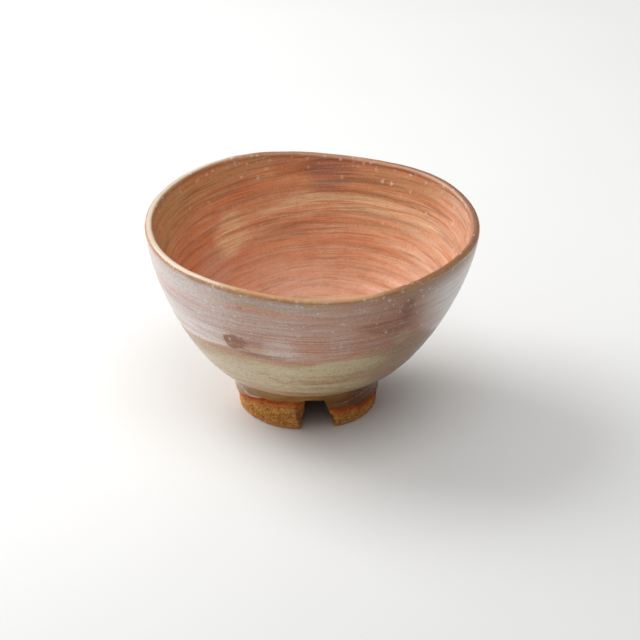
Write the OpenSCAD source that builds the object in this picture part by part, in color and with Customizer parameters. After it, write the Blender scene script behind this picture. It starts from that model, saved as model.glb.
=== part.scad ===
// Hand-thrown tea bowl on a notched foot ring.
// Millimetres, +Z up. The origin is under the middle of the lip, on the surface the foot stands on.
// The front of the bowl, where the notch is, faces -Y.

/* [Bowl] */
// Outer radius of the lip
rim_r = 65; // [60:0.5:70]
// Mean height of the lip above the surface the bowl stands on
height = 78; // [70:0.5:86]
// How far the lip's middle stands to the +X side of the foot's middle
lean = 1.9; // [0:0.1:4]
// How fast the outside swells away from the foot
belly_pull = 42; // [36:0.5:46]
// How upright the outside stands below the lip
shoulder_pull = 52; // [44:0.5:58]

/* [Inside] */
// Height of the inside floor
floor_z = 23; // [22:0.5:26]
// Half width of the flat part of the inside floor
floor_pull = 32; // [26:0.5:36]
// How far out the inside curve turns up into the wall
turn_r = 47; // [44:0.5:49]
// Depth of the shallow dip that the last tea gathers in
pool_depth = 0.8; // [0:0.1:1.5]
// Half width of that dip
pool_r = 13; // [9:0.5:18]

/* [Lip] */
// Thickness of the lip, glaze included
lip_t = 3; // [2.6:0.1:4]
// Height of the lip's rounded top
lip_round = 1.6; // [1.2:0.1:2.4]
// How far the lip rises on its high side and falls on the other
lip_tilt = 2.7; // [0:0.1:4]
// Direction of the lip's high side, counted from +X
lip_tilt_dir = 107; // [60:1:150]
// Height of the lip's other slow waves
lip_wave = 0.6; // [0:0.1:1.2]

/* [Foot] */
// Height of the foot ring
foot_h = 16.5; // [14:0.5:18]
// Outer radius of the foot ring where it meets the bowl
foot_top_r = 28.5; // [26:0.25:30]
// Outer radius of the foot ring at the bottom
foot_base_r = 27.4; // [24:0.2:29]
// Inner radius of the foot ring at the bottom
foot_in_r = 20.2; // [17:0.2:22]
// Width of the worn bevel round the bottom edges
foot_bevel = 0.7; // [0.3:0.1:1.2]

/* [Notch] */
// Direction of the notch, counted from -Y towards +X
notch_dir = 9.5; // [-20:0.5:40]
// Height of the notch
notch_h = 13.6; // [8:0.1:13.8]
// Width of the notch at the bottom
notch_base_w = 12.8; // [9:0.1:16]
// Width of the notch at the top
notch_top_w = 7; // [5:0.1:8]
// How far the notch's left side leans in
notch_side_lean = 1.1; // [0:0.1:2]
// Width of the small step on the notch's right side
notch_step = 1.5; // [0.5:0.1:2]

/* [Glaze] */
// Thickness of the glaze
glaze_t = 0.5; // [0.3:0.05:0.7]
// Height of the glaze's lower edge on the foot, halfway between its low and high sides
glaze_edge_z = 7.5; // [7:0.25:9]
// How much higher that edge is beside the notch
glaze_edge_rise = 4; // [0:0.1:4]

/* [Hidden] */

// Facets: steps round the bowl, steps up each wall, and steps over each half of the lip
around = 60;
wall_steps = 11;
lip_steps = 2;
// Number of the ring at the lip's crown
crown = wall_steps + lip_steps;

lip_mid_r = rim_r - lip_t / 2;
// Height where the lip starts to round over
lip_spring_z = height - lip_round;
// The foot's hollow narrows this much towards the bowl.
foot_in_taper = 1;
// Height of the upright band at the top of the foot, where the two glaze coats meet
seat_h = 1.2;
// The outer glaze starts this far out from the foot's own wall, so the two never cut each other.
clear = 0.05;
// Height of the step on the notch's right side, as a share of the notch
step_share = 0.44;

// The other slow waves round the lip: lobes, share of the wave's height, direction of one high point
LIP_WAVES = [[2, 1, 154], [3, 0.75, 3], [4, 0.75, 45], [5, 0.6, 34]];

// Curves of the outside and the inside, as the corner points of a cubic curve: [radius, height]
OUTSIDE = [[foot_top_r, foot_h], [belly_pull, foot_h + 1], [rim_r - 3, shoulder_pull], [rim_r, lip_spring_z]];
INSIDE = [[0, floor_z], [floor_pull, floor_z], [turn_r, floor_z - 2], [rim_r - lip_t, lip_spring_z]];

// A point of a cubic curve, and the unit vector to the right of its direction of travel
function cubic(p, t) =
    pow(1 - t, 3) * p[0] + 3 * t * pow(1 - t, 2) * p[1] + 3 * t * t * (1 - t) * p[2] + pow(t, 3) * p[3];
function travel(p, t) =
    pow(1 - t, 2) * (p[1] - p[0]) + 2 * t * (1 - t) * (p[2] - p[1]) + t * t * (p[3] - p[2]);
function right_of(v) = [v[1], -v[0]] / norm(v);

// The outside, moved into the wall by depth, from the foot up to the lip's crown
function outside(depth) = concat(
    [[foot_top_r + clear, foot_h - glaze_t + depth]],
    [for (i = [1 : wall_steps]) let (t = i / wall_steps)
        cubic(OUTSIDE, t) - depth * right_of(travel(OUTSIDE, t))],
    [for (i = [1 : lip_steps]) lip_point(90 * i / lip_steps, depth)]
);

// The inside, moved into the wall by depth, from beside the axis up to the lip's crown
function inside(depth) = concat(
    [for (i = [1 : wall_steps]) let (t = i / wall_steps, p = cubic(INSIDE, t))
        p + depth * right_of(travel(INSIDE, t)) - [0, pool_at(p[0])]],
    [for (i = [1 : lip_steps]) lip_point(180 - 90 * i / lip_steps, depth)]
);

// A point of the rounded lip, by its angle up from the outside
function lip_point(a, depth) = [
    lip_mid_r + (lip_t / 2 - depth) * cos(a),
    lip_spring_z + (lip_round - depth) * sin(a)
];

// Depth of the tea pool at a radius, smooth at both ends
function pool_at(r) = r < pool_r ? pool_depth * (1 + cos(180 * r / pool_r)) / 2 : 0;

// Share of the lip's wave and of the lean that reaches a height
function share(z) = min(1, max(0, (z - foot_h) / (lip_spring_z - foot_h)));

// Height of the lip's wave in a direction
function wave(a) = lip_tilt * cos(a - lip_tilt_dir) + lip_wave * lobes(a, len(LIP_WAVES) - 1);
function lobes(a, i) =
    i < 0 ? 0 : LIP_WAVES[i][1] * cos(LIP_WAVES[i][0] * (a - LIP_WAVES[i][2])) + lobes(a, i - 1);

// A profile point turned to direction a and set in place on the leaning, wavy bowl
function place(p, a) = [
    p[0] * cos(a) - lean * (1 - share(p[1])),
    p[0] * sin(a),
    p[1] + wave(a) * pow(share(p[1]), 1.5)
];

function spin(profile) = [for (p = profile) for (j = [0 : around - 1]) place(p, 360 * j / around)];

// Two triangles for each cell between ring i and ring k. flip is for a surface whose rings run
// downwards: its cells are split the same way as an upward one's, so surfaces that touch share facets.
function cells(i, k, flip) = [
    for (j = [0 : around - 1])
        let (n = (j + 1) % around, a = i * around + j, b = i * around + n, c = k * around + j, d = k * around + n)
            each (flip ? [[a, c, b], [b, c, d]] : [[a, d, b], [a, c, d]])
];

// A fan of triangles that closes ring i with the point whose number is tip
function cap(i, tip, up) = [
    for (j = [0 : around - 1])
        let (a = i * around + j, b = i * around + (j + 1) % around)
            up ? [tip, b, a] : [tip, a, b]
];

// A closed skin between two profiles that both run from a lower edge up to the crown
module skin(outer, inner) {
    n = len(outer);
    last = n + len(inner) - 1;
    polyhedron(
        points = concat(spin(outer), spin(reverse(inner))),
        faces = concat(
            [for (i = [0 : n - 2]) each cells(i, i + 1, false)],
            cells(n - 1, n, false),
            [for (i = [n : last - 1]) each cells(i, i + 1, true)],
            cells(last, 0, false)
        )
    );
}

// A closed solid whose profile starts on its underside beside the axis, runs out and up to the crown,
// and comes back down to the axis on the inside
module dish(profile, bottom_z, top_z) {
    n = len(profile);
    polyhedron(
        points = concat(spin(profile), [place([0, bottom_z], 0), place([0, top_z], 0)]),
        faces = concat(
            cap(0, n * around, false),
            [for (i = [0 : n - 2]) each cells(i, i + 1, i >= crown)],
            cap(n - 1, n * around + 1, true)
        )
    );
}

function reverse(list) = [for (i = [len(list) - 1 : -1 : 0]) list[i]];

module clay_body() {
    wall = inside(glaze_t);
    // Both walls end in the same ring at the crown, so the inside gives it up.
    down = [for (i = [crown - 2 : -1 : 0]) wall[i]];
    color("#b98b6e")
    dish(concat(outside(glaze_t), down), foot_h, floor_z - pool_depth - glaze_t);
}

module inner_glaze() {
    color("#b9704a")
    dish(concat(inside(glaze_t), reverse(inside(0))), floor_z - pool_depth - glaze_t, floor_z - pool_depth);
}

module outer_glaze() {
    color("#c3a697")
    skin(outside(0), outside(glaze_t));
}

// Outline of the foot ring's wall, [radius, height], with its outside moved out by a glaze's thickness
module foot_outline(out = 0) {
    polygon([
        [foot_in_r + foot_bevel, 0],
        [foot_base_r - foot_bevel, 0],
        [foot_base_r + out, foot_bevel],
        [foot_top_r + out, foot_h - seat_h],
        [foot_top_r + out, foot_h],
        [foot_in_r - foot_in_taper, foot_h],
        [foot_in_r, foot_bevel]
    ]);
}

// Shape of the notch as seen from the front: nearly upright on its left, leaning with a step on its right
module notch_outline() {
    low = -1;
    half = notch_base_w / 2;
    step_z = notch_h * step_share;
    polygon([
        [-half, low],
        [half, low],
        [half - notch_step / 2, step_z],
        [half - notch_step * 3 / 2, step_z + notch_step],
        [-half + notch_side_lean + notch_top_w, notch_h],
        [-half + notch_side_lean, notch_h],
        [-half + notch_side_lean / 2, step_z]
    ]);
}

module notch() {
    rotate([0, 0, notch_dir])
    translate([0, -foot_in_r / 2, 0])
    rotate([90, 0, 0])
    linear_extrude(height = foot_top_r)
    notch_outline();
}

module foot_ring() {
    color("#b0714a")
    translate([-lean, 0, 0])
    difference() {
        rotate_extrude($fn = 96) foot_outline();
        notch();
    }
}

// Everything above the glaze's slanting lower edge
module above_glaze_edge() {
    rotate([0, 0, notch_dir])
    rotate([atan(-glaze_edge_rise / foot_top_r), 0, 0])
    translate([-rim_r, -rim_r, glaze_edge_z])
    cube([2 * rim_r, 2 * rim_r, foot_h]);
}

module foot_glaze() {
    color("#9a8372")
    translate([-lean, 0, 0])
    difference() {
        intersection() {
            rotate_extrude($fn = 96) foot_outline(glaze_t);
            above_glaze_edge();
            cylinder(h = foot_h - glaze_t, r = rim_r);
        }
        rotate_extrude($fn = 96) foot_outline();
        notch();
    }
}

clay_body();
foot_ring();
inner_glaze();
outer_glaze();
foot_glaze();
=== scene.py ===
"""Looks of a hand-thrown tea bowl: glazed wall, brown lip, and a notched foot of bare clay.

Lengths are millimetres in this script until a mesh is made. The meshes are metres in the CAD's frame:
+Z up, the foot on z = 0, and the notch facing -Y, a little towards +X.
"""

import math

import bmesh
import bpy
import numpy as np
from mathutils import Euler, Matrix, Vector


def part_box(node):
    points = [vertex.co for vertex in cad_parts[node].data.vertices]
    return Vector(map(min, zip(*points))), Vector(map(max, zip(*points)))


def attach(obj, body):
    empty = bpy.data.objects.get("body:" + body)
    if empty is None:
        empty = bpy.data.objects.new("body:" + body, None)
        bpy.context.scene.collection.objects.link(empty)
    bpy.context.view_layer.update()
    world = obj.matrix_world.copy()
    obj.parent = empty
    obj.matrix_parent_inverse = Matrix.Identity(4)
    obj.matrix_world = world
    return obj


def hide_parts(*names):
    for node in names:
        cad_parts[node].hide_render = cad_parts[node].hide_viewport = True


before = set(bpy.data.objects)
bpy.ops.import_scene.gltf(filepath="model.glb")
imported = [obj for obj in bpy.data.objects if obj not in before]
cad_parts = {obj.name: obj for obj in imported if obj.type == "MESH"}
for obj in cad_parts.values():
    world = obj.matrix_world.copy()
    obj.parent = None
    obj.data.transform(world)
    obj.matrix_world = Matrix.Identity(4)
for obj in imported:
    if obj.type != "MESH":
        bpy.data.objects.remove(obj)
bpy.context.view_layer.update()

MM = 0.001

# ---------------------------------------------------------------- sizes of the bowl, from the CAD boxes

bowl_low, bowl_high = [np.array(corner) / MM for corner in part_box("outer_glaze")]
foot_low, foot_high = [np.array(corner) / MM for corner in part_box("foot_ring")]
RIM_R = (bowl_high[0] - bowl_low[0]) / 2
FOOT_R = (foot_high[0] - foot_low[0]) / 2
FOOT_H = foot_high[2]
FOOT_X = (foot_high[0] + foot_low[0]) / 2

# The CAD's other driving sizes
HEIGHT = 78.0
LIP_T = 3.0
LIP_ROUND = 1.6
LIP_SPRING = HEIGHT - LIP_ROUND
LIP_MID_R = RIM_R - LIP_T / 2
FLOOR_Z = 23.0
POOL_DEPTH, POOL_R = 0.8, 13.0
FOOT_BASE_R = 27.4
FOOT_IN_R = 20.2
NOTCH_DIR = 9.5
GLAZE_T = 0.5

# The outside and the inside as the corner points of a cubic curve, [radius, height]
OUTSIDE = [(FOOT_R, FOOT_H), (42, FOOT_H + 1), (RIM_R - 3, 52), (RIM_R, LIP_SPRING)]
INSIDE = [(0, FLOOR_Z), (32, FLOOR_Z), (47, FLOOR_Z - 2), (RIM_R - LIP_T, LIP_SPRING)]

# The lip's rise on its high side, and its other slow waves: lobes, height, direction of one high point
LIP_TILT, LIP_TILT_DIR = 2.7, 107
LIP_WAVES = [(2, 0.6, 154), (3, 0.45, 3), (4, 0.45, 45), (5, 0.36, 34)]

# Mesh density: points round the bowl, rings up a seen wall, over half the lip, and up a hidden back
AROUND = 384
WALL_RINGS = 198
LIP_RINGS = 22
BACK_RINGS = 12

# Throwing ridges outside, and the fingers' spiral inside with its finer lines: pitch and depth
RIDGE_PITCH, RIDGE_DEPTH = 5.2, 0.075
SPIRAL_PITCH, SPIRAL_DEPTH = 6.5, 0.15
LINE_PITCH, LINE_DEPTH = 2.1, 0.035


# ---------------------------------------------------------------- shape of the wall

def share(z):
    """Part of the lip's wave and lean that reaches a height."""
    return np.clip((z - FOOT_H) / (LIP_SPRING - FOOT_H), 0, 1)


def wave(angle):
    """Height of the lip's slow wave in a direction."""
    lift = LIP_TILT * np.cos(angle - math.radians(LIP_TILT_DIR))
    for lobes, height, direction in LIP_WAVES:
        lift = lift + height * np.cos(lobes * (angle - math.radians(direction)))
    return lift


def unit(v):
    return v / np.linalg.norm(v, axis=-1, keepdims=True)


def ripple(points, size, seed, waves=28):
    """Smooth random height, mostly between -1 and 1, with features of about this size along each axis."""
    draw = np.random.default_rng(seed)
    heading = unit(draw.normal(size=(waves, 3))) * draw.uniform(0.5, 1.4, (waves, 1))
    phase = draw.uniform(0, 2 * math.pi, waves)
    turns = (points / np.array(size)) @ heading.T * math.pi + phase
    return np.sin(turns).sum(-1) / math.sqrt(waves)


def section(curve, facing, rings, first=0.0):
    """A wall's section from the foot or floor up to the lip's crown. facing is 1 outside and -1 inside.

    Returns the rings' [radius, height], the directions they face, and their distance from the crown.
    """
    t = np.linspace(first, 1, rings)[:, None]
    p = np.array(curve, float)
    at = (1 - t) ** 3 * p[0] + 3 * t * (1 - t) ** 2 * p[1] + 3 * t * t * (1 - t) * p[2] + t**3 * p[3]
    go = (1 - t) ** 2 * (p[1] - p[0]) + 2 * t * (1 - t) * (p[2] - p[1]) + t * t * (p[3] - p[2])
    face = unit(np.stack([go[:, 1], -go[:, 0]], 1)) * facing
    turn = np.radians(np.linspace(0, 90, LIP_RINGS + 1)[1:])
    half, high = LIP_T / 2, LIP_ROUND
    lip = np.stack([LIP_MID_R + facing * half * np.cos(turn), LIP_SPRING + high * np.sin(turn)], 1)
    lip_face = unit(np.stack([facing * np.cos(turn) / half, np.sin(turn) / high], 1))
    at, face = np.concatenate([at, lip]), np.concatenate([face, lip_face])
    steps = np.linalg.norm(np.diff(at, axis=0), axis=1)
    down = np.append(np.cumsum(steps[::-1])[::-1], 0)
    return at, face, down


def place(at, face, relief, angles):
    """Turns a section round the leaning, wavy bowl. relief moves each point out along its own direction."""
    radius = at[:, :1] + face[:, :1] * relief
    height = at[:, 1:] + face[:, 1:] * relief
    part = share(at[:, 1:])
    x = radius * np.cos(angles) + FOOT_X * (1 - part)
    y = radius * np.sin(angles)
    return np.stack([x, y, height + wave(angles) * part**1.5], -1)


def bell(x, middle, width):
    """1 at the middle, falling off smoothly to both sides."""
    return np.exp(-(((x - middle) / width) ** 2))


ANGLES = np.linspace(0, 2 * math.pi, AROUND, endpoint=False)[None, :]


def outside_relief(at, down):
    """Throwing ridges, the hand's slow unevenness, and the lip's soft bead."""
    flat = place(at, np.zeros_like(at), 0, ANGLES)
    z = at[:, 1:]
    drift = ripple(flat, (60, 60, 14), 3)
    ridges = np.sin(2 * math.pi * (z / RIDGE_PITCH) + ANGLES + 1.6 * drift)
    strength = 0.5 + 0.5 * ripple(flat, (50, 50, 22), 5)
    body = np.clip(down / 9, 0, 1)[:, None]
    relief = RIDGE_DEPTH * ridges * strength * body
    relief = relief + 0.2 * ripple(flat, (42, 42, 30), 7) * body
    relief = relief + 0.03 * ripple(flat, (16, 16, 1.6), 9) * body
    edge = down[:, None] + 0.35 * ripple(flat, (14, 14, 60), 11)
    bead = 0.16 * bell(edge, 1.9, 1.1) - 0.13 * bell(edge, 3.7, 0.8)
    return relief + bead + 0.05 * ripple(flat, (5, 5, 5), 13) * bell(down[:, None], 0, 3)


def inside_relief(at, down):
    """The spiral that the fingers leave as they pull the wall up, coarser towards the floor."""
    flat = place(at, np.zeros_like(at), 0, ANGLES)
    length = (down.max() - down)[:, None]
    drift = ripple(flat, (45, 45, 16), 23)
    spiral = np.sin(2 * math.pi * length / SPIRAL_PITCH - ANGLES + 1.4 * drift)
    fine = np.sin(2 * math.pi * length / LINE_PITCH - ANGLES + 3 * drift)
    body = np.clip(down / 10, 0, 1)[:, None] * np.clip(length / 4, 0, 1)
    strength = 0.7 + 0.3 * ripple(flat, (40, 40, 20), 25)
    relief = (SPIRAL_DEPTH * spiral + LINE_DEPTH * fine) * strength * body
    relief = relief + 0.12 * ripple(flat, (36, 36, 24), 27) * body
    edge = down[:, None] + 0.3 * ripple(flat, (14, 14, 60), 29)
    bead = 0.1 * bell(edge, 1.7, 1.0) - 0.08 * bell(edge, 3.4, 0.9)
    return relief + bead + 0.05 * ripple(flat, (5, 5, 5), 13) * bell(down[:, None], 0, 3)


def pooled(at):
    """Lowers the floor's middle into the shallow tea pool."""
    dip = POOL_DEPTH * (1 + np.cos(np.pi * np.clip(at[:, 0] / POOL_R, 0, 1))) / 2
    return np.stack([at[:, 0], at[:, 1] - dip], 1)


# ---------------------------------------------------------------- meshes

def lattice(rings, around, joined):
    """Quads between each ring and the next. joined also closes the last ring onto the first."""
    ring = np.arange(rings if joined else rings - 1)[:, None]
    j = np.arange(around)[None, :]
    nxt, after = (ring + 1) % rings, (j + 1) % around
    low, high = ring * around, nxt * around
    return np.stack([low + j, low + after, high + after, high + j], -1).reshape(-1, 4).tolist()


def fan(first, around, tip, up):
    """Triangles that close a ring with one point."""
    pairs = [(first + j, first + (j + 1) % around) for j in range(around)]
    return [(a, b, tip) if up else (b, a, tip) for a, b in pairs]


def new_object(name, data):
    """An object linked into the scene."""
    made = bpy.data.objects.new(name, data)
    bpy.context.scene.collection.objects.link(made)
    return made


def store(mesh, values):
    """Stores one number per point under each name."""
    for key, numbers in values.items():
        layer = mesh.attributes.new(key, "FLOAT", "POINT")
        layer.data.foreach_set("value", np.asarray(numbers, np.float32).ravel())


def new_piece(name, points, faces, values, body="root"):
    """A mesh piece from points in millimetres. values holds one number per point under each name."""
    mesh = bpy.data.meshes.new(name)
    mesh.from_pydata((np.asarray(points).reshape(-1, 3) * MM).tolist(), [], faces)
    mesh.shade_smooth()
    store(mesh, values)
    piece = new_object(name, mesh)
    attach(piece, body)
    return piece


def crease_ring(piece, ring):
    """Keeps the shading of a ring's two sides apart."""
    mesh = piece.data
    ends = np.empty(len(mesh.edges) * 2, int)
    mesh.edges.foreach_get("vertices", ends)
    inside = (ends // AROUND == ring).reshape(-1, 2).all(1)
    for index in np.nonzero(inside)[0]:
        mesh.edges[index].use_edge_sharp = True


def per_ring(numbers):
    """One number for each ring, repeated for each of its points."""
    return np.repeat(np.asarray(numbers)[:, None], AROUND, 1)


def glaze_skin():
    """The outside glaze: a fine front and a plain back on the clay, closed at the crown and the foot."""
    at, face, down = section(OUTSIDE, 1, WALL_RINGS)
    front = place(at, face, outside_relief(at, down), ANGLES)
    back_at, back_face, back_down = section(OUTSIDE, 1, BACK_RINGS)
    back = place(back_at, back_face, -GLAZE_T, ANGLES)[::-1]
    rings = len(front) + len(back)
    values = {
        "rise": np.concatenate([per_ring(share(at[:, 1])), per_ring(share(back_at[::-1, 1]))]),
        "down": np.concatenate([per_ring(down), per_ring(back_down[::-1])]),
    }
    faces = lattice(rings, AROUND, True)
    piece = new_piece("glaze_outside", np.concatenate([front, back]), faces, values)
    crease_ring(piece, len(front) - 1)
    crease_ring(piece, 0)
    return piece


def glaze_lining():
    """The inside glaze: a fine front down to the tea pool, closed round the crown with a plain back."""
    at, face, down = section(INSIDE, -1, WALL_RINGS, 0.006)
    at = pooled(at)
    front = place(at, face, inside_relief(at, down), ANGLES)[::-1]
    back_at, back_face, back_down = section(INSIDE, -1, BACK_RINGS, 0.02)
    back_at = pooled(back_at)
    back = place(back_at, back_face, -GLAZE_T, ANGLES)
    bottom = FLOOR_Z - POOL_DEPTH
    tips = [[FOOT_X, 0, bottom - GLAZE_T], [FOOT_X, 0, bottom]]
    rings = len(front) + len(back)
    count = rings * AROUND
    points = np.concatenate([back.reshape(-1, 3), front.reshape(-1, 3), tips])
    rise = np.concatenate([per_ring(share(back_at[:, 1])), per_ring(share(at[::-1, 1]))])
    fall = np.concatenate([per_ring(back_down), per_ring(down[::-1])])
    values = {
        "rise": np.append(rise.ravel(), [0, 0]),
        "down": np.append(fall.ravel(), [down.max(), down.max()]),
    }
    faces = fan(0, AROUND, count, False) + lattice(rings, AROUND, False)
    faces += fan((rings - 1) * AROUND, AROUND, count + 1, True)
    piece = new_piece("glaze_inside", points, faces, values)
    crease_ring(piece, len(back))
    return piece


# Trimming marks under the bowl: a slow spiral, and the small nub that the tool leaves in the middle
TRIM_PITCH, TRIM_DEPTH = 2.6, 0.16
NUB_R, NUB_H = 5.0, 1.1


def clay_shell():
    """The clay under the glaze, with its turned underside showing inside the foot ring."""
    around = 240
    angles = np.linspace(0, 2 * math.pi, around, endpoint=False)[None, :]
    under_r = np.concatenate([np.linspace(0.3, FOOT_IN_R + 0.5, 90), [FOOT_R - 0.5, FOOT_R]])[:, None]
    seen = np.clip((FOOT_IN_R - 0.5 - under_r) / 1.5, 0, 1)
    spiral = np.cos(2 * math.pi * under_r / TRIM_PITCH - angles)
    nub = NUB_H * np.exp(-((under_r / NUB_R) ** 4))
    under_z = FOOT_H - (nub + TRIM_DEPTH * (1 + spiral) * (1 - nub / NUB_H)) * seen
    x = under_r * np.cos(angles) + FOOT_X
    under = np.stack([x, under_r * np.sin(angles), under_z + 0 * x], -1)
    under[..., 2] -= 0.05 * ripple(under, (3, 3, 3), 31) * seen
    out_at, out_face, _ = section(OUTSIDE, 1, 60, 0.01)
    in_at, in_face, _ = section(INSIDE, -1, 60, 0.02)
    outer = place(out_at, out_face, -GLAZE_T, angles)
    inner = place(pooled(in_at), in_face, -GLAZE_T, angles)[::-1][1:]
    rings = np.concatenate([under, outer, inner])
    tips = [[FOOT_X, 0, FOOT_H - NUB_H], [FOOT_X, 0, FLOOR_Z - POOL_DEPTH - GLAZE_T]]
    count = len(rings) * around
    faces = fan(0, around, count, False) + lattice(len(rings), around, False)
    faces += fan((len(rings) - 1) * around, around, count + 1, True)
    return new_piece("clay_shell", np.concatenate([rings.reshape(-1, 3), tips]), faces, {})


# Lower edge of the glaze on the foot: [degrees from the front towards +X, height]
GLAZE_EDGE = [
    (-180, 5.0), (-135, 6.6), (-90, 6.6), (-75, 7.3), (-53, 9.5), (-36, 11.8), (-14, 12.9), (-3.4, 13.2),
    (-1.8, 14.2), (13, 14.2), (17.4, 9.8), (26, 8.7), (37, 8.1), (47, 6.8), (58, 7.3), (77, 6.8), (90, 6.4),
    (135, 6.8), (180, 5.0),
]


def glaze_edge(front_angle):
    """Height of the glaze's edge on the foot, with small irregular scallops."""
    angle, height = zip(*GLAZE_EDGE)
    turn = np.radians(front_angle)[..., None]
    ring = np.concatenate([np.cos(turn), np.sin(turn), 0 * turn], -1) * FOOT_R
    return np.interp(front_angle, angle, height) + 0.22 * ripple(ring, (2.4, 2.4, 1), 41)


# Height of the foot's upright band, under the bowl
SEAT_H = 1.2
# The foot's lean to the left, and the height where it stops growing
SWAY, SWAY_TOP = 0.5, 12


def foot_wall(z):
    """Outer radius of the bare foot at a height."""
    return FOOT_BASE_R + (FOOT_R - FOOT_BASE_R) * np.clip(z / (FOOT_H - SEAT_H), 0, 1)


def sway(z):
    """How far the foot leans over to the left at a height."""
    return -SWAY * np.clip(z / SWAY_TOP, 0, 1)


# Pale runs in the glaze on the foot, painted highlights that also stand a little proud: half width,
# strength, and the run's [degrees from the front, height].
# Their ends fade over RUN_FADE degrees.
RUN_FADE = 9
PAINTED_HIGHLIGHT_RUNS = [
    (0.65, 1.0, [(-82, 15.2), (-72, 13.4), (-60, 11.4), (-50, 10.6), (-41, 11.5)]),
    (0.3, 0.8, [(26, 10.6), (40, 11.5), (55, 12.9), (70, 15.0)]),
    (1.5, 0.85, [(64, 16.0), (74, 15.4), (84, 14.2)]),
    (1.6, 0.45, [(118, 14.6), (140, 13.4), (150, 12.0)]),
]


def painted_highlight_strength(front, z):
    """The strength of the nearest painted highlight run on its middle, and 0 away from all of them."""
    most = np.zeros(np.broadcast(front, z).shape)
    for width, strength, path in PAINTED_HIGHLIGHT_RUNS:
        turn, height = zip(*path)
        off = (z - np.interp(front, turn, height)) / width
        past = np.clip(np.maximum(turn[0] - front, front - turn[-1]), 0, None) / RUN_FADE
        most = np.maximum(most, strength * np.exp(-(off**2) - past**2))
    return most


# The roll at the glaze's lower edge: thickness and half height; the glaze above it, and how fast it thins
ROLL_T, ROLL_HALF = 0.5, 0.8
ABOVE_T, THINNING = 0.22, 1.3
# The flare under the bowl: where it starts, how far out it comes, and how much more at its right end
FLARE_Z, FLARE_OUT = 9, 2.6
FLARE_MORE, FLARE_DIR, FLARE_SPREAD = 1.2, 85, 30
# How far the glaze reaches up into the bowl and back into the foot, so that no gap shows
REACH_UP, REACH_BACK = 0.75, 0.35
# How far the painted highlight runs stand out, and the radius on which the lumps are drawn
HIGHLIGHT_RUN_PROUD, LUMP_R = 0.08, 28


def glaze_roll():
    """Glaze that ran onto the foot: thin above, a thick round roll at its lower edge, and a flare on top."""
    around, rings = 720, 60
    front = np.linspace(-180, 180, around, endpoint=False)[None, :]
    angles = np.radians(front - 90)
    edge = glaze_edge(front)
    top = FOOT_H + REACH_UP
    t = np.linspace(0, 1, rings)[:, None] ** 1.6
    z = edge + (top - edge) * t
    above = z - edge
    bulge = ROLL_T * np.sqrt(np.clip(1 - (above / ROLL_HALF - 1) ** 2, 0, 1))
    thin = ABOVE_T + (ROLL_T - ABOVE_T) * np.exp(-((above - ROLL_HALF) / THINNING))
    roll = np.where(above < ROLL_HALF, bulge, thin)
    flare = FLARE_OUT + FLARE_MORE * bell(front, FLARE_DIR, FLARE_SPREAD)
    fillet = flare * np.clip((z - FLARE_Z) / (top - FLARE_Z), 0, 1) ** 2
    lump_points = np.stack([LUMP_R * np.cos(angles) + 0 * z, LUMP_R * np.sin(angles) + 0 * z, z], -1)
    lumps = 1 + 0.35 * ripple(lump_points, (4, 4, 3), 43)
    # Strength of the pale runs painted as highlights; they also raise the glaze slightly.
    painted_highlight_run = painted_highlight_strength(front, z)
    radius = foot_wall(z) + roll * lumps + fillet + HIGHLIGHT_RUN_PROUD * painted_highlight_run
    wall = foot_wall(z) - REACH_BACK
    middle = FOOT_X + sway(z)
    outer = np.stack([radius * np.cos(angles) + middle, radius * np.sin(angles), z], -1)
    inner = np.stack([wall * np.cos(angles) + middle, wall * np.sin(angles), z + 0.12], -1)[::-1]
    values = {"above": np.concatenate([above, above[::-1]]), "painted_highlight_run": np.concatenate([painted_highlight_run, painted_highlight_run[::-1]])}
    points, faces = np.concatenate([outer, inner]), lattice(2 * rings, around, True)
    return new_piece("glaze_on_foot", points, faces, values)


# Outline of the notch seen from the front: [across, height, how far its mouth is scooped wider there]
NOTCH = [
    (-6.4, -2, 0.4), (6.4, -2, 0), (6.1, 1.5, 0), (5.8, 5.4, 0), (5.1, 6.0, 0), (4.2, 6.3, 0),
    (4.05, 7.4, 0), (2.9, 10.8, 0), (1.8, 13.2, 0), (0.8, 13.9, 0), (-3.2, 13.8, 0), (-5.0, 13.1, 1.2),
    (-5.3, 12, 3.0),
    (-5.45, 10, 4.3), (-5.6, 8, 4.7), (-5.85, 5.5, 4.3), (-6.1, 3, 3.1), (-6.3, 1, 1.6),
]
# How far out each slice of the notch's cutter lies, and the share of the scoop that it gets
SLICES = [(10, -0.25), (19.8, -0.25), (21.5, -0.08), (23.5, 0.28), (25.5, 0.64), (28, 1.0), (33, 1.3)]
# The foot's worn bottom edges: how far in they start, a point on the way, and where they end
WORN_IN, WORN_WAY, WORN_UP = 0.9, (0.25, 0.3), 1.0
# How far the foot's clay reaches up into the bowl's, and the remesh's cell
OVERLAP, VOXEL = 0.4, 0.34


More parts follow.
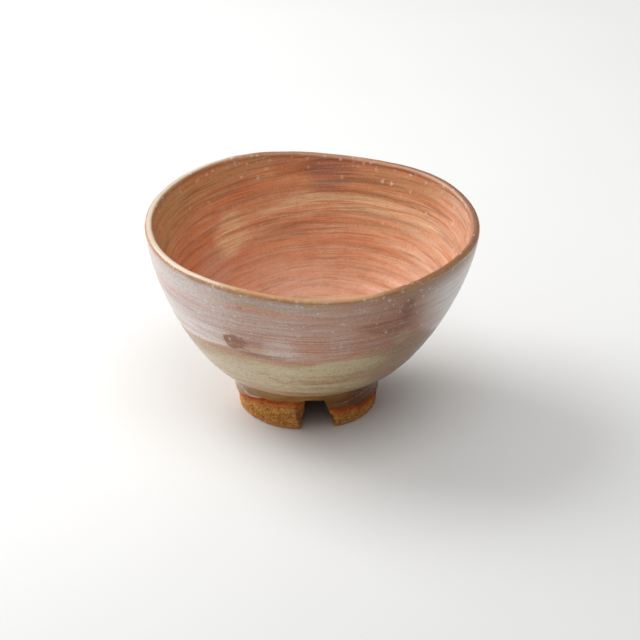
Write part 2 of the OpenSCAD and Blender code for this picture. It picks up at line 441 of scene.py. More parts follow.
def foot_clay():
    """The foot ring with its cut notch, worn edges and coarse clay."""
    high = FOOT_H + OVERLAP
    section_points = [
        (FOOT_IN_R + WORN_IN, 0), (FOOT_BASE_R - WORN_IN, 0), (FOOT_BASE_R - WORN_WAY[0], WORN_WAY[1]),
        (FOOT_BASE_R, WORN_UP), (FOOT_R, FOOT_H - SEAT_H), (FOOT_R, high), (FOOT_IN_R - 1, high),
        (FOOT_IN_R, WORN_UP), (FOOT_IN_R + WORN_WAY[0], WORN_WAY[1]),
    ]
    around = 360
    angles = np.linspace(0, 2 * math.pi, around, endpoint=False)[None, :]
    r = np.array([p[0] for p in section_points])[:, None]
    z = np.array([p[1] for p in section_points])[:, None]
    points = np.stack([r * np.cos(angles) + FOOT_X + sway(z), r * np.sin(angles), z + 0 * angles], -1)
    ring = new_piece("foot_clay", points, lattice(len(section_points), around, True), {})
    cutter = notch_cutter()
    cut = ring.modifiers.new("notch", "BOOLEAN")
    cut.object, cut.operation, cut.solver = cutter, "DIFFERENCE", "EXACT"
    remesh = ring.modifiers.new("even", "REMESH")
    remesh.mode, remesh.voxel_size, remesh.use_smooth_shade = "VOXEL", VOXEL * MM, True
    soften = ring.modifiers.new("soften", "SMOOTH")
    soften.iterations, soften.factor = 6, 0.5
    depsgraph = bpy.context.evaluated_depsgraph_get()
    mesh = bpy.data.meshes.new_from_object(ring.evaluated_get(depsgraph), depsgraph=depsgraph)
    ring.modifiers.clear()
    ring.data = mesh
    bpy.data.objects.remove(cutter)
    roughen(mesh)
    return ring


def notch_cutter():
    """A closed block with the notch's outline, scooped wider towards its mouth on the left."""
    turn = math.radians(NOTCH_DIR)
    count = len(NOTCH)
    points = []
    for out, scoop in SLICES:
        for x, z, wider in NOTCH:
            across = x - wider * scoop
            px = across * math.cos(turn) + out * math.sin(turn) + FOOT_X
            py = across * math.sin(turn) - out * math.cos(turn)
            points.append((px * MM, py * MM, z * MM))
    last = (len(SLICES) - 1) * count
    faces = [tuple(reversed(range(count))), tuple(range(last, last + count))]
    for k in range(len(SLICES) - 1):
        for i in range(count):
            after = (i + 1) % count
            faces.append((k * count + i, k * count + after, (k + 1) * count + after, (k + 1) * count + i))
    mesh = bpy.data.meshes.new("notch_cutter")
    mesh.from_pydata(points, [], faces)
    work = bmesh.new()
    work.from_mesh(mesh)
    bmesh.ops.recalc_face_normals(work, faces=work.faces)
    work.to_mesh(mesh)
    work.free()
    return new_object("notch_cutter", mesh)


# Points this near the outer wall count as outside. The others are this far from any glaze.
OUTER_SKIN, FAR_BELOW = 2.2, 20
# Where the clay's random height is above PIT_START it is a pit, down to PIT_MOST times PIT_DEPTH.
PIT_START, PIT_MOST, PIT_DEPTH = 1.25, 0.6, 0.5


def roughen(mesh):
    """Pits, grain and a hand-worn unevenness, with the standing face kept flat at z = 0.

    Stores how far each point is below the glaze, and how deep in a pit it lies.
    """
    count = len(mesh.vertices)
    points = np.empty(count * 3)
    normals = np.empty(count * 3)
    mesh.vertices.foreach_get("co", points)
    mesh.vertices.foreach_get("normal", normals)
    points, normals = points.reshape(-1, 3) / MM, normals.reshape(-1, 3)
    broad = ripple(points, (7, 7, 5), 51)
    medium = ripple(points, (1.9, 1.9, 1.5), 53, 60)
    grain = ripple(points, (0.8, 0.8, 0.7), 55, 80)
    pits = np.clip(ripple(points, (1.1, 1.1, 0.9), 57, 60) - PIT_START, 0, PIT_MOST)
    angle = np.degrees(np.arctan2(points[:, 1], points[:, 0] - FOOT_X))
    front = (angle + 90 + 180) % 360 - 180
    outer = np.hypot(points[:, 0] - FOOT_X, points[:, 1]) > FOOT_BASE_R - OUTER_SKIN
    below = np.where(outer, glaze_edge(front) - points[:, 2], FAR_BELOW)
    relief = 0.12 * broad + 0.1 * medium + 0.07 * grain - PIT_DEPTH * pits
    relief = np.where(below < 0, 0.3 * relief - 0.3 * np.clip(-below, 0, 1), relief)
    points = points + normals * relief[:, None]
    points[:, 2] = np.maximum(points[:, 2], 0)
    mesh.vertices.foreach_set("co", (points * MM).ravel())
    store(mesh, {"below": below, "pit": pits * 3})
    mesh.update()


# ---------------------------------------------------------------- materials

def colour(code):
    """Linear colour of a six-digit sRGB code."""
    parts = [int(code[i : i + 2], 16) / 255 for i in (0, 2, 4)]
    return [p / 12.92 if p <= 0.04045 else ((p + 0.055) / 1.055) ** 2.4 for p in parts] + [1.0]


class Material:
    """A Principled material with short names for its node kinds. Positions are in millimetres."""

    def __init__(self, name, roughness=0.3, coat=0.0, coat_roughness=0.05, ior=1.5):
        self.material = bpy.data.materials.new(name)
        self.material.use_nodes = True
        self.tree = self.material.node_tree
        self.tree.nodes.clear()
        output = self.node("ShaderNodeOutputMaterial")
        self.shader = self.node("ShaderNodeBsdfPrincipled")
        self.tree.links.new(self.shader.outputs["BSDF"], output.inputs["Surface"])
        self.shader.inputs["Roughness"].default_value = roughness
        self.shader.inputs["IOR"].default_value = ior
        self.shader.inputs["Coat Weight"].default_value = coat
        self.shader.inputs["Coat Roughness"].default_value = coat_roughness
        where = self.node("ShaderNodeTexCoord").outputs["Object"]
        self.place = self.scaled(where, (1 / MM,) * 3)
        self.row = (0, 0, 1)

    def node(self, kind, **settings):
        made = self.tree.nodes.new(kind)
        for key, value in settings.items():
            setattr(made, key, value)
        return made

    def feed(self, socket, value):
        if isinstance(value, bpy.types.NodeSocket):
            self.tree.links.new(value, socket)
        else:
            socket.default_value = value

    def vector(self, operation, *values):
        """The outputs of a vector operation on these values."""
        made = self.node("ShaderNodeVectorMath", operation=operation)
        for socket, value in zip(made.inputs, values):
            self.feed(socket, value)
        return made.outputs

    def scaled(self, vector, factors, shift=(0, 0, 0)):
        return self.vector("MULTIPLY_ADD", vector, factors, shift)["Vector"]

    def attribute(self, name):
        return self.node("ShaderNodeAttribute", attribute_name=name).outputs["Fac"]

    def math(self, operation, a, b=0.0):
        made = self.node("ShaderNodeMath", operation=operation)
        self.feed(made.inputs[0], a)
        self.feed(made.inputs[1], b)
        return made.outputs["Value"]

    def noise(self, size, seed, detail=3.0, rough=0.55):
        """Noise from 0 to 1 with features of about this size, in millimetres, along each axis."""
        shift = (seed * 1.7, seed * 2.3, seed * 3.1)
        at = self.scaled(self.place, tuple(1 / s for s in size), shift)
        made = self.node("ShaderNodeTexNoise")
        self.feed(made.inputs["Vector"], at)
        made.inputs["Scale"].default_value = 1.0
        made.inputs["Detail"].default_value = detail
        made.inputs["Roughness"].default_value = rough
        return made.outputs["Fac"]

    def smooth(self, value, low, high):
        """0 below low, 1 above high, eased between. With low above high it falls instead."""
        made = self.node("ShaderNodeMapRange", interpolation_type="SMOOTHSTEP")
        self.feed(made.inputs["Value"], value)
        ends = (high, low, 1.0, 0.0) if low > high else (low, high, 0.0, 1.0)
        for name, end in zip(("From Min", "From Max", "To Min", "To Max"), ends):
            made.inputs[name].default_value = end
        return made.outputs["Result"]

    def product(self, *masks):
        """1 where all the masks are 1."""
        result = masks[0]
        for mask in masks[1:]:
            result = self.math("MULTIPLY", result, mask)
        return result

    def mix(self, amount, a, b, blend="MIX"):
        """Colour a with b over it. The Mix node's sockets 6 and 7 and its output 2 are the colour ones."""
        made = self.node("ShaderNodeMix", data_type="RGBA", blend_type=blend)
        self.feed(made.inputs[0], amount)
        self.feed(made.inputs[6], a)
        self.feed(made.inputs[7], b)
        return made.outputs[2]

    def ramp(self, value, stops):
        made = self.node("ShaderNodeValToRGB")
        elements = made.color_ramp.elements
        while len(elements) < len(stops):
            elements.new(0.5)
        for element, (position, code) in zip(elements, stops):
            element.position = position
            element.color = colour(code)
        self.feed(made.inputs["Fac"], value)
        return made.outputs["Color"]

    def specks(self, cell, radius, portion, seed):
        """Small irregular specks, one in each chosen cell of a random honeycomb."""
        ragged = 1.6 * radius
        wander = self.node("ShaderNodeTexNoise")
        self.feed(wander.inputs["Vector"], self.scaled(self.place, (1 / ragged,) * 3))
        wander.inputs["Scale"].default_value = 1.0
        shift = (seed * 2.9, seed * 1.3, seed * 3.7)
        stray = self.scaled(wander.outputs["Color"], (ragged / cell,) * 3, shift)
        at = self.vector("ADD", self.scaled(self.place, (1 / cell,) * 3), stray)
        made = self.node("ShaderNodeTexVoronoi")
        self.feed(made.inputs["Vector"], at["Vector"])
        made.inputs["Scale"].default_value = 1.0
        near = self.smooth(made.outputs["Distance"], radius / cell, 0.5 * radius / cell)
        split = self.node("ShaderNodeSeparateColor")
        self.feed(split.inputs[0], made.outputs["Color"])
        chosen = self.math("LESS_THAN", split.outputs[0], portion)
        varied = self.math("ADD", 0.35, self.math("MULTIPLY", split.outputs[1], 0.65))
        return self.product(near, chosen, varied)

    def axis(self, name):
        split = self.node("ShaderNodeSeparateXYZ")
        self.feed(split.inputs[0], self.place)
        return split.outputs[name]

    def spread(self, value, amount):
        """Moves a 0 to 1 noise to lie round zero, and scales it."""
        return self.math("MULTIPLY", self.math("SUBTRACT", value, 0.5), amount)

    def bend(self, size, amount, seed):
        """Makes later patterns wander up and down by about this many millimetres."""
        lift = self.node("ShaderNodeCombineXYZ")
        self.feed(lift.inputs["Z"], self.spread(self.noise(size, seed), 2 * amount))
        self.place = self.vector("ADD", self.place, lift.outputs["Vector"])["Vector"]

    def tilt(self, row):
        """Leans the streaks of later patterns: row gives the new height from X, Y and Z."""
        height = self.vector("DOT_PRODUCT", self.place, row)["Value"]
        self.row = row
        joined = self.node("ShaderNodeCombineXYZ")
        for socket, value in zip(joined.inputs, (self.axis("X"), self.axis("Y"), height)):
            self.feed(socket, value)
        self.place = joined.outputs["Vector"]

    def streak(self, width, seed, low, high, length=60):
        """Long level streaks this wide: 1 inside them and 0 between."""
        return self.smooth(self.noise((length, length, width), seed, 4.0, 0.6), low, high)

    def blotch(self, size, seed, low, high, detail=4.0, rough=0.65):
        """Cloudy blotches of about this size: 1 inside them and 0 between."""
        return self.smooth(self.noise(size, seed, detail, rough), low, high)

    def patch(self, point, reach, squash=1.0, seed=0, soft=0.8):
        """1 around a point and 0 beyond a ragged, soft edge. squash below 1 makes the patch wide and low."""
        height = float(np.dot(self.row, point))
        offset = self.scaled(self.place, (1, 1, 1 / squash), (-point[0], -point[1], -height / squash))
        length = self.vector("LENGTH", offset)["Value"]
        ragged = self.spread(self.noise((1.2 * reach, 1.2 * reach, 1.2 * reach * squash), 60 + seed), 1.4)
        distance = self.total((1 / reach, length), (1.0, ragged))
        return self.smooth(distance, 1 + soft / 2, 1 - soft / 2)

    def paint(self, base):
        self.feed(self.shader.inputs["Base Color"], base)

    def bump(self, height):
        """height is in millimetres."""
        made = self.node("ShaderNodeBump")
        made.inputs["Strength"].default_value = 1.0
        made.inputs["Distance"].default_value = MM
        self.feed(made.inputs["Height"], height)
        self.feed(self.shader.inputs["Normal"], made.outputs["Normal"])

    def total(self, *parts):
        """Sum of (amount, value) pairs."""
        result = 0.0
        for amount, value in parts:
            result = self.math("ADD", result, self.math("MULTIPLY", value, amount))
        return result


def on_wall(curve, facing, direction, height):
    """The point of a wall in a direction (degrees from +X) at a height of the section."""
    at, face, _ = section(curve, facing, 200)
    ring = int(np.argmin(np.abs(at[:, 1] - height)))
    spot = place(at[ring : ring + 1], face[ring : ring + 1], 0, np.radians([[direction]]))
    return spot[0, 0]


def add_tint(m, base, mask, amount, tint):
    """Mixes this amount of a tint into the base colour where the mask is 1."""
    return m.mix(m.math("MULTIPLY", mask, amount), base, colour(tint))


def add_tints(m, base, rows):
    """Adds tints in turn. Rows hold a mask, an amount and a tint."""
    for mask, amount, tint in rows:
        base = add_tint(m, base, mask, amount, tint)
    return base


def add_lip(m, base, down, tones, edge, strength):
    """The brown band where the glaze ran thin over the lip. edge is how far down from the crown it goes.

    The crown is golden at the front, darker on the right with painted shade, and whiter on the left with a
    painted highlight.
    """
    depth = m.math("ADD", down, m.spread(m.noise((11, 11, 40), 70), 1.8))
    brown = m.ramp(m.noise((16, 16, 30), 71), [(0.3, tones[0]), (0.5, tones[1]), (0.7, tones[2])])
    brown = add_tint(m, brown, m.smooth(m.noise((1.3, 1.3, 1.3), 72), 0.5, 0.75), 0.5, "d3ab86")
    brown = add_tint(m, brown, m.smooth(m.noise((0.9, 0.9, 0.9), 73), 0.45, 0.25), 0.5, "84583a")
    line = m.product(m.smooth(depth, edge - 0.1, edge + 0.3), m.smooth(depth, edge + 1.5, edge + 0.5))
    base = add_tint(m, base, line, 0.35 * strength, "7c6252")
    base = m.mix(m.product(m.smooth(depth, edge + 0.5, edge - 0.5), strength), base, brown)
    drips = m.product(m.specks(2.3, 0.8, 0.45, 74), m.smooth(down, edge - 2.6, edge - 0.6))
    base = add_tint(m, base, m.product(drips, m.smooth(down, edge + 3.5, edge + 2)), 0.7, "dcd8d5")
    crown = m.smooth(down, 1.5, 0.4)
    return add_tints(m, base, [
        (crown, 0.35, "8f5a34"),
        (m.product(crown, m.smooth(m.axis("Y"), -50, -62)), 0.45, "dfae70"),
        # Painted shade on the right of the crown.
        (m.product(crown, m.smooth(m.axis("X"), 18, 40)), 0.7, "7a4a2c"),
        # Painted highlight on the left of the crown.
        (m.product(crown, m.smooth(m.axis("X"), -22, -44)), 0.65, "eadfcb"),
    ])


# Patches outside: direction, height, reach, squash, tint, amount, softness, share broken into streaks
OUTSIDE_PATCHES = [
    (249, 50.5, 11.0, 0.34, "965c3c", 0.9, 0.8, 0.7),
    (240, 51.2, 5.2, 0.72, "8e4f14", 1.0, 0.22, 0.05),
    (252, 46.4, 9.0, 0.16, "96643f", 0.85, 0.6, 0.2),
    (304.5, 66, 3.0, 2.1, "80503a", 0.7, 0.7, 0.3),
    (301, 60.5, 13.0, 0.34, "86573c", 0.6, 0.8, 0.8),
    (307, 51.3, 4.6, 0.72, "c6c39c", 0.8, 0.5, 0.3),
    (252, 49.0, 7.0, 0.17, "d8ceac", 0.6, 0.7, 0.5),
    (287, 41.8, 16, 0.16, "d3cfaa", 0.7, 0.5, 0.3),
    (262, 43.5, 10, 0.14, "ab7c55", 0.6, 0.8, 0.4),
    (295, 34.0, 13, 0.15, "a9784e", 0.7, 0.8, 0.4),
    (236, 36.0, 12, 0.4, "d2cfb0", 0.5, 1.0, 0.3),
    (258.5, 51.0, 5.5, 0.8, "e2d6ce", 0.5, 1.2, 0.2),
    (281, 56.0, 5.0, 1.4, "cdbcb6", 0.4, 1.2, 0.2),
    (255, 60.0, 12.0, 0.8, "cdc2bd", 0.35, 1.2, 0.3),
]
# A small iron ring: direction, height, and the radii of the ring and its core
RING_DIR, RING_Z = 245, 69.8
RING_R, CORE_R = 0.9, 0.5


def outside_ground(m, level, fringe, upper, belly):
    """Bands from the pale green belly to the lip, with long streaks and cloudy blotches."""
    base = m.ramp(m.total((1.0, level), (1.0, fringe)), [
        (0.00, "b09664"), (0.08, "c8b488"), (0.26, "d0bf98"), (0.36, "ccb08a"), (0.47, "c49074"),
        (0.64, "c4927c"), (0.80, "bfa499"), (0.93, "bda697"), (1.00, "b99b80"),
    ])
    for width, seed, low, high, zone, amount, tint in [
        (5.0, 2, 0.47, 0.62, upper, 0.7, "c6bbba"),
        (3.0, 3, 0.48, 0.6, upper, 0.75, "c5805c"),
        (3.0, 4, 0.5, 0.62, belly, 0.7, "a8804e"),
        (4.2, 5, 0.5, 0.6, belly, 0.65, "cdc79c"),
        (1.3, 16, 0.5, 0.62, belly, 0.45, "a98459"),
    ]:
        base = add_tint(m, base, m.product(m.streak(width, seed, low, high), zone), amount, tint)
    return add_tints(m, base, [
        (m.product(m.blotch((9, 9, 4), 20, 0.48, 0.62), belly), 0.5, "b0865c"),
        (m.product(m.blotch((6, 6, 3), 42, 0.5, 0.62), belly), 0.45, "c9c8ae"),
        (m.product(m.streak(1.2, 6, 0.48, 0.62, 40), upper), 0.6, "cf8a62"),
        (m.product(m.streak(0.9, 17, 0.5, 0.64, 40), upper), 0.4, "c2b6b2"),
    ])


def add_left_painted_reflection(m, base, x, rise, fringe, near):
    """On the left, a painted reflection of the bright surroundings that whitens the glaze, and the browner
    belly under it, with a clear edge between them.
    """
    edge = m.total((1.0, rise), (-0.003, x), (0.05, fringe))
    painted_reflection = m.product(m.smooth(x, -20, -42), m.smooth(edge, 0.602, 0.622))
    fading = m.total((0.4, m.smooth(edge, 0.95, 0.65)), (1.0, 0.6))
    # Painted reflection: whitens the glaze on the left front.
    base = add_tint(m, base, m.product(painted_reflection, fading, near), 0.72, "eeebec")
    under = m.product(m.smooth(x, -14, -34), m.smooth(edge, 0.6, 0.585), m.smooth(edge, 0.38, 0.52))
    return add_tint(m, base, m.product(under, near), 0.4, "a07830")


def add_right_painted_reflection(m, base, x, rise, down, fringe, marks, near):
    """On the right, a painted reflection of the pale floor that whitens the glaze, broken by streaks."""
    edge = m.total((1.0, rise), (0.018, x), (0.6, fringe))
    painted_reflection = m.product(m.smooth(x, 36, 52), m.smooth(edge, 1.26, 1.36), m.smooth(down, 1, 13))
    streaky = m.total((0.3, marks), (1.0, 0.7))
    # Painted reflection, towards the right edge of the front.
    return add_tint(m, base, m.product(painted_reflection, streaky, near), 0.72, "f1eeeb")


def add_outside_patches(m, base, marks):
    for seed, (direction, height, reach, squash, tint, amount, soft, streaky) in enumerate(OUTSIDE_PATCHES):
        spot = on_wall(OUTSIDE, 1, direction, height)
        streaks = m.total((streaky, marks), (1.0, 1.0 - streaky))
        mask = m.product(m.patch(spot, reach, squash, seed, soft), streaks)
        base = add_tint(m, base, mask, amount, tint)
    spot = on_wall(OUTSIDE, 1, RING_DIR, RING_Z)
    ring, core = [m.patch(spot, radius, 0.6, 50, 0.4) for radius in (RING_R, CORE_R)]
    return add_tint(m, base, m.math("SUBTRACT", ring, core), 0.8, "6e4632")


def add_mottle(m, base, belly):
    """Light, dark and rusty grain all over, stronger on the belly."""
    amount = m.total((0.15, belly), (1.0, 0.3))
    return add_tints(m, base, [
        (m.blotch((1.1, 1.1, 0.8), 13, 0.52, 0.7, 3.0, 0.7), amount, "e2d6ca"),
        (m.blotch((1.0, 1.0, 0.7), 14, 0.5, 0.34, 3.0, 0.7), amount, "75503a"),
        (m.blotch((1.6, 1.6, 1.0), 43, 0.55, 0.68, 3.0, 0.7), 0.35, "c87c4e"),
    ])


def add_painted_shade(m, base, x, near):
    """Painted shade: duller and browner towards the right."""
    painted_shade = m.ramp(m.total((1 / 120, x), (1.0, 0.5)), [
        (0.10, "ffffff"), (0.28, "f6f0ec"), (0.41, "ffffff"), (0.535, "f8f4ee"), (0.66, "eae4dc"),
        (0.78, "d3b99c"),
    ])
    # Painted shade, multiplied into the colour, mostly on the front.
    return m.mix(m.total((0.6, near), (1.0, 0.4)), base, painted_shade, "MULTIPLY")


def outside_glaze():
    """Glossy glaze: pink and lilac streaks above a pale green belly, brown patches, specks."""
    m = Material("glaze_outside", roughness=0.28, coat=0.25, coat_roughness=0.06, ior=1.5)
    rise, down = m.attribute("rise"), m.attribute("down")
    x = m.axis("X")
    cloud = m.spread(m.noise((26, 26, 12), 1), 1.0)
    level = m.total((1.0, rise), (0.22, cloud), (-0.09, m.smooth(x, 4, 30)))
    m.bend((24, 24, 12), 1.1, 12)
    fringe = m.spread(m.noise((45, 45, 1.8), 19, 4.0, 0.65), 0.3)
    near = m.smooth(m.axis("Y"), 22, -12)
    upper, belly = m.smooth(level, 0.38, 0.5), m.smooth(level, 0.5, 0.36)
    middle = m.product(m.smooth(level, 0.42, 0.5), m.smooth(level, 0.9, 0.66))
    hair = m.streak(0.5, 7, 0.47, 0.64, 34)
    marks = m.streak(1.1, 18, 0.4, 0.56, 30)

    base = outside_ground(m, level, fringe, upper, belly)
    base = add_left_painted_reflection(m, base, x, rise, fringe, near)
    base = add_tint(m, base, m.product(m.smooth(x, 12, 38), belly, near), 0.65, "8f6636")
    base = add_outside_patches(m, base, marks)
    base = add_tint(m, base, hair, m.total((0.4, middle), (0.12, upper), (1.0, 0.08)), "96634a")
    base = add_mottle(m, base, belly)
    base = add_painted_shade(m, base, x, near)
    base = add_right_painted_reflection(m, base, x, rise, down, fringe, marks, near)
    base = add_lip(m, base, down, ("96643a", "b08050", "aa7444"), 2.7, 0.9)

    iron = m.math("MAXIMUM", m.specks(6.5, 0.5, 0.3, 6), m.specks(3.2, 0.3, 0.25, 7))
    chips = m.product(m.specks(2.8, 0.8, 0.24, 8), m.smooth(level, 0.3, 0.6))
    chips = m.product(chips, m.blotch((0.8, 0.8, 0.5), 45, 0.4, 0.54, 3.0, 0.7))
    blurs = m.product(m.specks(3.2, 1.1, 0.35, 15), m.smooth(level, 0.3, 0.7))
    blurs = m.product(blurs, m.blotch((0.9, 0.9, 0.6), 44, 0.42, 0.6, 3.0, 0.7))
    base = add_tints(m, base, [
        (iron, 0.7, "4a3226"),
        (blurs, 0.5, "d9d3ce"),
        (chips, 0.75, "e6e2dd"),
    ])
    m.paint(base)
    m.feed(m.shader.inputs["Roughness"], m.total((1.0, 0.22), (0.2, m.noise((5, 5, 2), 9))))
    wavy, orange_peel = m.noise((2.6, 2.6, 1.6), 10), m.noise((0.7, 0.7, 0.6), 11)
    m.bump(m.total((-0.03, hair), (0.07, wavy), (0.03, orange_peel), (0.06, chips), (-0.06, iron)))
    return m.material


# Patches on the inside: direction, height, reach, squash, tint, amount, softness
INSIDE_PATCHES = [
    (160, 72, 34, 0.35, "b99c68", 0.85, 1.0),
    (122, 75, 18, 0.25, "b89868", 0.75, 1.0),
    (5, 56, 34, 0.9, "efc6ae", 0.5, 1.2),
    (55, 72, 24, 0.4, "b98355", 0.75, 1.0),
    (84, 74, 12, 0.3, "ac6f48", 0.7, 0.9),
    (97, 73, 9, 0.4, "bb6c44", 0.55, 0.9),
    (150, 44, 26, 0.6, "c47a58", 0.7, 1.0),
    (82, 71, 8.5, 1.0, "92685a", 0.7, 1.0),
    (141, 44, 10, 0.7, "c79c8a", 0.7, 1.2),
]
# Tan areas made of dashes: direction, height, reach, squash, amount
TAN_AREAS = [
    (92, 58.5, 17, 0.2, 0.9),
    (66, 61, 16, 0.2, 0.7),
    (127.5, 51.0, 8.5, 0.8, 1.15),
    (36, 61, 18, 0.2, 0.5),
    (300, 60, 30, 0.2, 0.6),
    (220, 50, 24, 0.2, 0.6),
]


def inside_ground(m, level):
    """Orange-brown, a little paler towards the floor, with long streaks and cloudy blotches."""
    base = m.ramp(level, [
        (0.00, "dcb095"), (0.15, "dba68a"), (0.35, "d9a07d"), (0.60, "daa37b"), (0.80, "daa37a"),
        (0.95, "d8a27c"), (1.00, "d2a98a"),
    ])
    return add_tints(m, base, [
        (m.streak(5.0, 36, 0.5, 0.66, 30), 0.45, "c27c54"),
        (m.streak(3.2, 22, 0.5, 0.66, 30), 0.4, "d88858"),
        (m.streak(2.2, 23, 0.5, 0.64, 30), 0.5, "a87c50"),
        (m.blotch((7, 7, 5), 38, 0.48, 0.7, 4.0, 0.6), 0.35, "bd7046"),
        (m.blotch((9, 9, 6), 39, 0.5, 0.7, 4.0, 0.6), 0.3, "dba883"),
    ])


def add_inside_patches(m, base):
    for seed, (direction, height, reach, squash, tint, amount, soft) in enumerate(INSIDE_PATCHES):
        spot = on_wall(INSIDE, -1, direction, height)
        base = add_tint(m, base, m.patch(spot, reach, squash, 20 + seed, soft), amount, tint)
    dashes = m.total((0.5, m.streak(1.3, 29, 0.4, 0.58, 40)), (1.0, 0.5))
    for seed, (direction, height, reach, squash, amount) in enumerate(TAN_AREAS):
        spot = on_wall(INSIDE, -1, direction, height)
        mask = m.product(m.patch(spot, reach, squash, 30 + seed, 1.0), dashes)
        base = add_tint(m, base, mask, amount, "efd6aa")
    return base


def inside_glaze():
    """Thin satin glaze over orange-brown clay, streaked along the fingers' spiral."""
    m = Material("glaze_inside", roughness=0.45, coat=0.15, coat_roughness=0.15, ior=1.5)
    rise, down = m.attribute("rise"), m.attribute("down")
    cloud = m.spread(m.noise((26, 26, 14), 21), 1.0)
    level = m.total((1.0, rise), (0.2, cloud), (0.0016, m.axis("X")))
    m.bend((26, 26, 14), 0.9, 28)
    m.tilt((-0.08, -0.05, 1))
    base = add_inside_patches(m, inside_ground(m, level))

    wall = m.smooth(rise, 0.25, 0.6)
    fine = m.streak(0.4, 25, 0.47, 0.66, 24)
    base = add_tints(m, base, [
        (m.product(m.streak(1.5, 40, 0.5, 0.6, 34), wall), 0.55, "dc8450"),
        (m.product(m.streak(1.3, 41, 0.5, 0.6, 34), wall), 0.45, "8a4f2e"),
        (m.streak(0.9, 24, 0.5, 0.64, 30), 0.45, "dc8448"),
        (fine, 0.3, "9c6240"),
        (m.streak(0.5, 33, 0.5, 0.68, 24), 0.3, "e8b88c"),
        (m.blotch((1.0, 1.0, 0.8), 34, 0.5, 0.28, 4.0, 0.75), 0.4, "8f5a3c"),
        (m.blotch((0.9, 0.9, 0.8), 37, 0.52, 0.75, 4.0, 0.75), 0.3, "f0cfb0"),
    ])
    base = add_lip(m, base, down, ("a06c48", "b78562", "b27a5c"), 1.7, 0.8)

    white = m.product(m.specks(3.4, 1.0, 0.3, 26), m.smooth(level, 0.5, 0.9))
    base = add_tint(m, base, white, 0.65, "e6d8cd")
    base = add_tint(m, base, m.specks(4.0, 0.35, 0.25, 27), 0.6, "5a3a27")
    m.paint(base)
    m.feed(m.shader.inputs["Roughness"], m.total((1.0, 0.38), (0.2, m.noise((5, 5, 2), 31))))
    m.bump(m.total((-0.02, fine), (0.06, m.noise((2.5, 2.5, 1.6), 32)), (0.05, white)))
    return m.material


def foot_glaze():
    """Glassy brown glaze with pale runs painted as highlights, rusty at its lower edge, and painted shade
    that makes it darker on the right.
    """
    m = Material("glaze_on_foot", roughness=0.16, ior=1.38)
    x = m.axis("X")
    base = m.ramp(m.noise((9, 9, 4), 31), [(0.35, "865a20"), (0.5, "9c6a28"), (0.65, "a87e3a")])
    # Painted shade, darker towards the right.
    painted_shade = m.ramp(m.total((1 / 60, x), (1.0, 0.5)), [(0.3, "ffffff"), (0.8, "b09274")])
    base = m.mix(1.0, base, painted_shade, "MULTIPLY")
    base = add_tint(m, base, m.streak(0.8, 35, 0.5, 0.68, 14), 0.22, "b3945a")
    base = add_tint(m, base, m.smooth(x, 0, -16), 0.45, "8c5a1e")
    broken = m.blotch((3.0, 3.0, 2.0), 36, 0.36, 0.6, 4.0, 0.7)
    # The pale runs are painted highlights.
    painted_highlight_run = m.product(m.attribute("painted_highlight_run"), m.total((0.6, broken), (1.0, 0.4)))
    base = add_tints(m, base, [
        (m.smooth(painted_highlight_run, 0.2, 1.0), 0.75, "c9bfc6"),
        (m.smooth(m.attribute("above"), 0.5, 0.0), 1.0, "8a3f1a"),
        (m.specks(2.4, 0.4, 0.35, 32), 0.6, "4a3021"),
    ])
    m.paint(base)
    m.bump(m.total((0.15, m.noise((2.4, 2.4, 2.0), 33)), (0.03, m.noise((0.6, 0.6, 0.6), 34))))
    return m.material


def add_foot_marks_and_painted_light(m, base, patchy, sand):
    """The clay's orange-red flash beside the glaze, its worn bottom edge, painted shade in its pits, and
    painted light on its pale left end.
    """
    foot_edge = m.total((1.0, m.axis("Z")), (1.6, m.spread(patchy, 1.0)))
    base = add_tint(m, base, m.smooth(foot_edge, 1.9, 0.5), 0.75, "d48f5e")
    ragged = m.total((1.0, m.attribute("below")), (1.8, m.spread(sand, 1.0)), (3.2, m.spread(patchy, 1.0)))
    return add_tints(m, base, [
        (m.smooth(ragged, 4.6, 1.0), 0.75, "b9602a"),
        (m.smooth(ragged, 2.3, 0.7), 0.95, "b4440f"),
        # Painted shade in the pits.
        (m.smooth(m.attribute("pit"), 0.05, 0.5), 0.5, "6a4322"),
        # Painted light on the left end.
        (m.smooth(m.axis("X"), -24, -30), 0.35, "f0bc88"),
    ])


def bare_clay(name, seed, use_foot_marks_and_painted_light):
    """Coarse fired clay with sand, drag marks, pale grog and dark specks."""
    m = Material(name, roughness=0.9, ior=1.3)
    patchy = m.noise((7, 7, 4), seed)
    sand = m.noise((0.8, 0.8, 0.6), seed + 1, 5.0, 0.75)
    drag = m.noise((6, 6, 0.5), seed + 5, 3.0, 0.6)
    coarse = m.noise((1.7, 1.7, 1.1), seed + 6, 4.0, 0.7)
    base = m.ramp(patchy, [(0.32, "b0702a"), (0.48, "c88434"), (0.62, "d8923f"), (0.75, "dea052")])
    base = add_tints(m, base, [
        (m.smooth(coarse, 0.5, 0.64), 0.55, "e0ab6e"),
        (m.smooth(coarse, 0.47, 0.34), 0.6, "84521f"),
        (m.smooth(sand, 0.5, 0.64), 0.75, "efbc80"),
        (m.smooth(sand, 0.48, 0.36), 0.85, "693812"),
        (m.smooth(drag, 0.48, 0.32), 0.5, "80521f"),
    ])
    if use_foot_marks_and_painted_light:
        base = add_foot_marks_and_painted_light(m, base, patchy, sand)
    grog = m.specks(2.2, 0.5, 0.4, seed + 2)
    dark = m.specks(1.9, 0.3, 0.3, seed + 3)
    base = add_tint(m, base, grog, 0.5, "e8c49a")
    base = add_tint(m, base, dark, 0.6, "5a3820")
    m.paint(base)
    grain = m.noise((0.3, 0.3, 0.3), seed + 4)
    m.bump(m.total((0.4, sand), (0.3, coarse), (0.1, grog), (-0.1, dark), (0.2, drag), (0.12, grain)))
    return m.material


# ---------------------------------------------------------------- the bowl

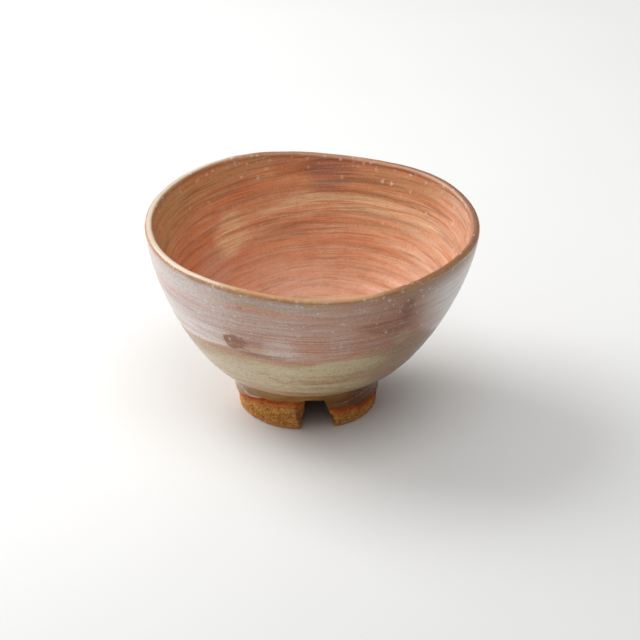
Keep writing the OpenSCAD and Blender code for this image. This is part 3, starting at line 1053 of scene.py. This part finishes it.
def finish_piece(piece, node, material):
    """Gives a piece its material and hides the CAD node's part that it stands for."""
    piece.data.materials.clear()
    piece.data.materials.append(material)
    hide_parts(node)


finish_piece(glaze_skin(), "outer_glaze", outside_glaze())
finish_piece(glaze_lining(), "inner_glaze", inside_glaze())
finish_piece(glaze_roll(), "foot_glaze", foot_glaze())
finish_piece(foot_clay(), "foot_ring", bare_clay("foot_clay", 80, True))
finish_piece(clay_shell(), "clay_body", bare_clay("body_clay", 90, False))


# ---------------------------------------------------------------- floor, light and camera

# Half the floor's width in metres, and how far it lies under the foot in millimetres
FLOOR_HALF = 4.0
FLOOR_DROP = 0.02


def make_floor():
    """A pale floor with painted shade, a little greyer towards the front right."""
    corners = [(x * FLOOR_HALF, y * FLOOR_HALF, 0) for x, y in ((-1, -1), (1, -1), (1, 1), (-1, 1))]
    mesh = bpy.data.meshes.new("floor")
    mesh.from_pydata(corners, [], [(0, 1, 2, 3)])
    floor = new_object("floor", mesh)
    floor.location.z = -FLOOR_DROP * MM
    m = Material("floor", roughness=0.7)
    plain = m.ramp(m.noise((90, 90, 90), 99), [(0.0, "e7e7e6"), (1.0, "ebebea")])
    painted_shade_front_right = m.smooth(m.total((0.5, m.axis("X")), (-1.0, m.axis("Y"))), -60, 300)
    # Painted shade, greyer towards the front right.
    m.paint(add_tint(m, plain, painted_shade_front_right, 0.8, "d6d6d5"))
    mesh.materials.append(m.material)


def add_panel(name, position, aim, size, watts):
    """A soft rectangular light. Places and sizes are in metres."""
    light = bpy.data.lights.new(name, "AREA")
    light.shape, light.size, light.size_y, light.energy = "RECTANGLE", size[0], size[1], watts
    panel = new_object(name, light)
    panel.location = position
    panel.rotation_euler = (Vector(aim) - Vector(position)).to_track_quat("-Z", "Y").to_euler()


def make_world():
    """A pale room: bright overhead and a little to the left, dimmer near the floor."""
    bright_side = (-0.5, 0.1, 0.86)
    dim, bright = 0.17, 0.66
    world = bpy.data.worlds.new("studio")
    world.use_nodes = True
    tree = world.node_tree
    background = tree.nodes["Background"]
    background.inputs["Color"].default_value = (1.0, 1.0, 1.0, 1.0)
    coordinates = tree.nodes.new("ShaderNodeTexCoord")
    high = tree.nodes.new("ShaderNodeVectorMath")
    high.operation = "DOT_PRODUCT"
    high.inputs[1].default_value = bright_side
    ramp = tree.nodes.new("ShaderNodeMapRange")
    ramp.inputs["From Min"].default_value, ramp.inputs["From Max"].default_value = 0.0, 0.8
    ramp.inputs["To Min"].default_value, ramp.inputs["To Max"].default_value = dim, bright
    tree.links.new(coordinates.outputs["Generated"], high.inputs[0])
    tree.links.new(high.outputs["Value"], ramp.inputs["Value"])
    tree.links.new(ramp.outputs["Result"], background.inputs["Strength"])
    bpy.context.scene.world = world


def make_camera():
    """A long lens at the front, in metres and degrees.

    It stands on a line that falls to the middle of the foot, and aims a little above that line.
    """
    lens, distance, fall, turn = 150.0, 1.0716, 28.09, 0.294
    above_line = 1.661
    data = bpy.data.cameras.new("camera")
    data.lens, data.sensor_width = lens, 36.0
    data.clip_start, data.clip_end = 0.05, 20.0
    camera = new_object("camera", data)
    drop = math.radians(fall)
    camera.location = (FOOT_X * MM, -distance * math.cos(drop), distance * math.sin(drop))
    camera.rotation_euler = Euler((math.radians(90 - fall + above_line), 0, -math.radians(turn)), "XYZ")
    bpy.context.scene.camera = camera


make_floor()
make_world()
add_panel("key", (-0.6, 0.33, 0.66), (0, 0, 0.03), (0.6, 0.6), 6.8)
add_panel("overhead", (0.3, -0.65, 1.9), (0, 0, 0.03), (1.4, 1.4), 12.5)
make_camera()
bpy.context.scene.view_settings.view_transform = "Standard"
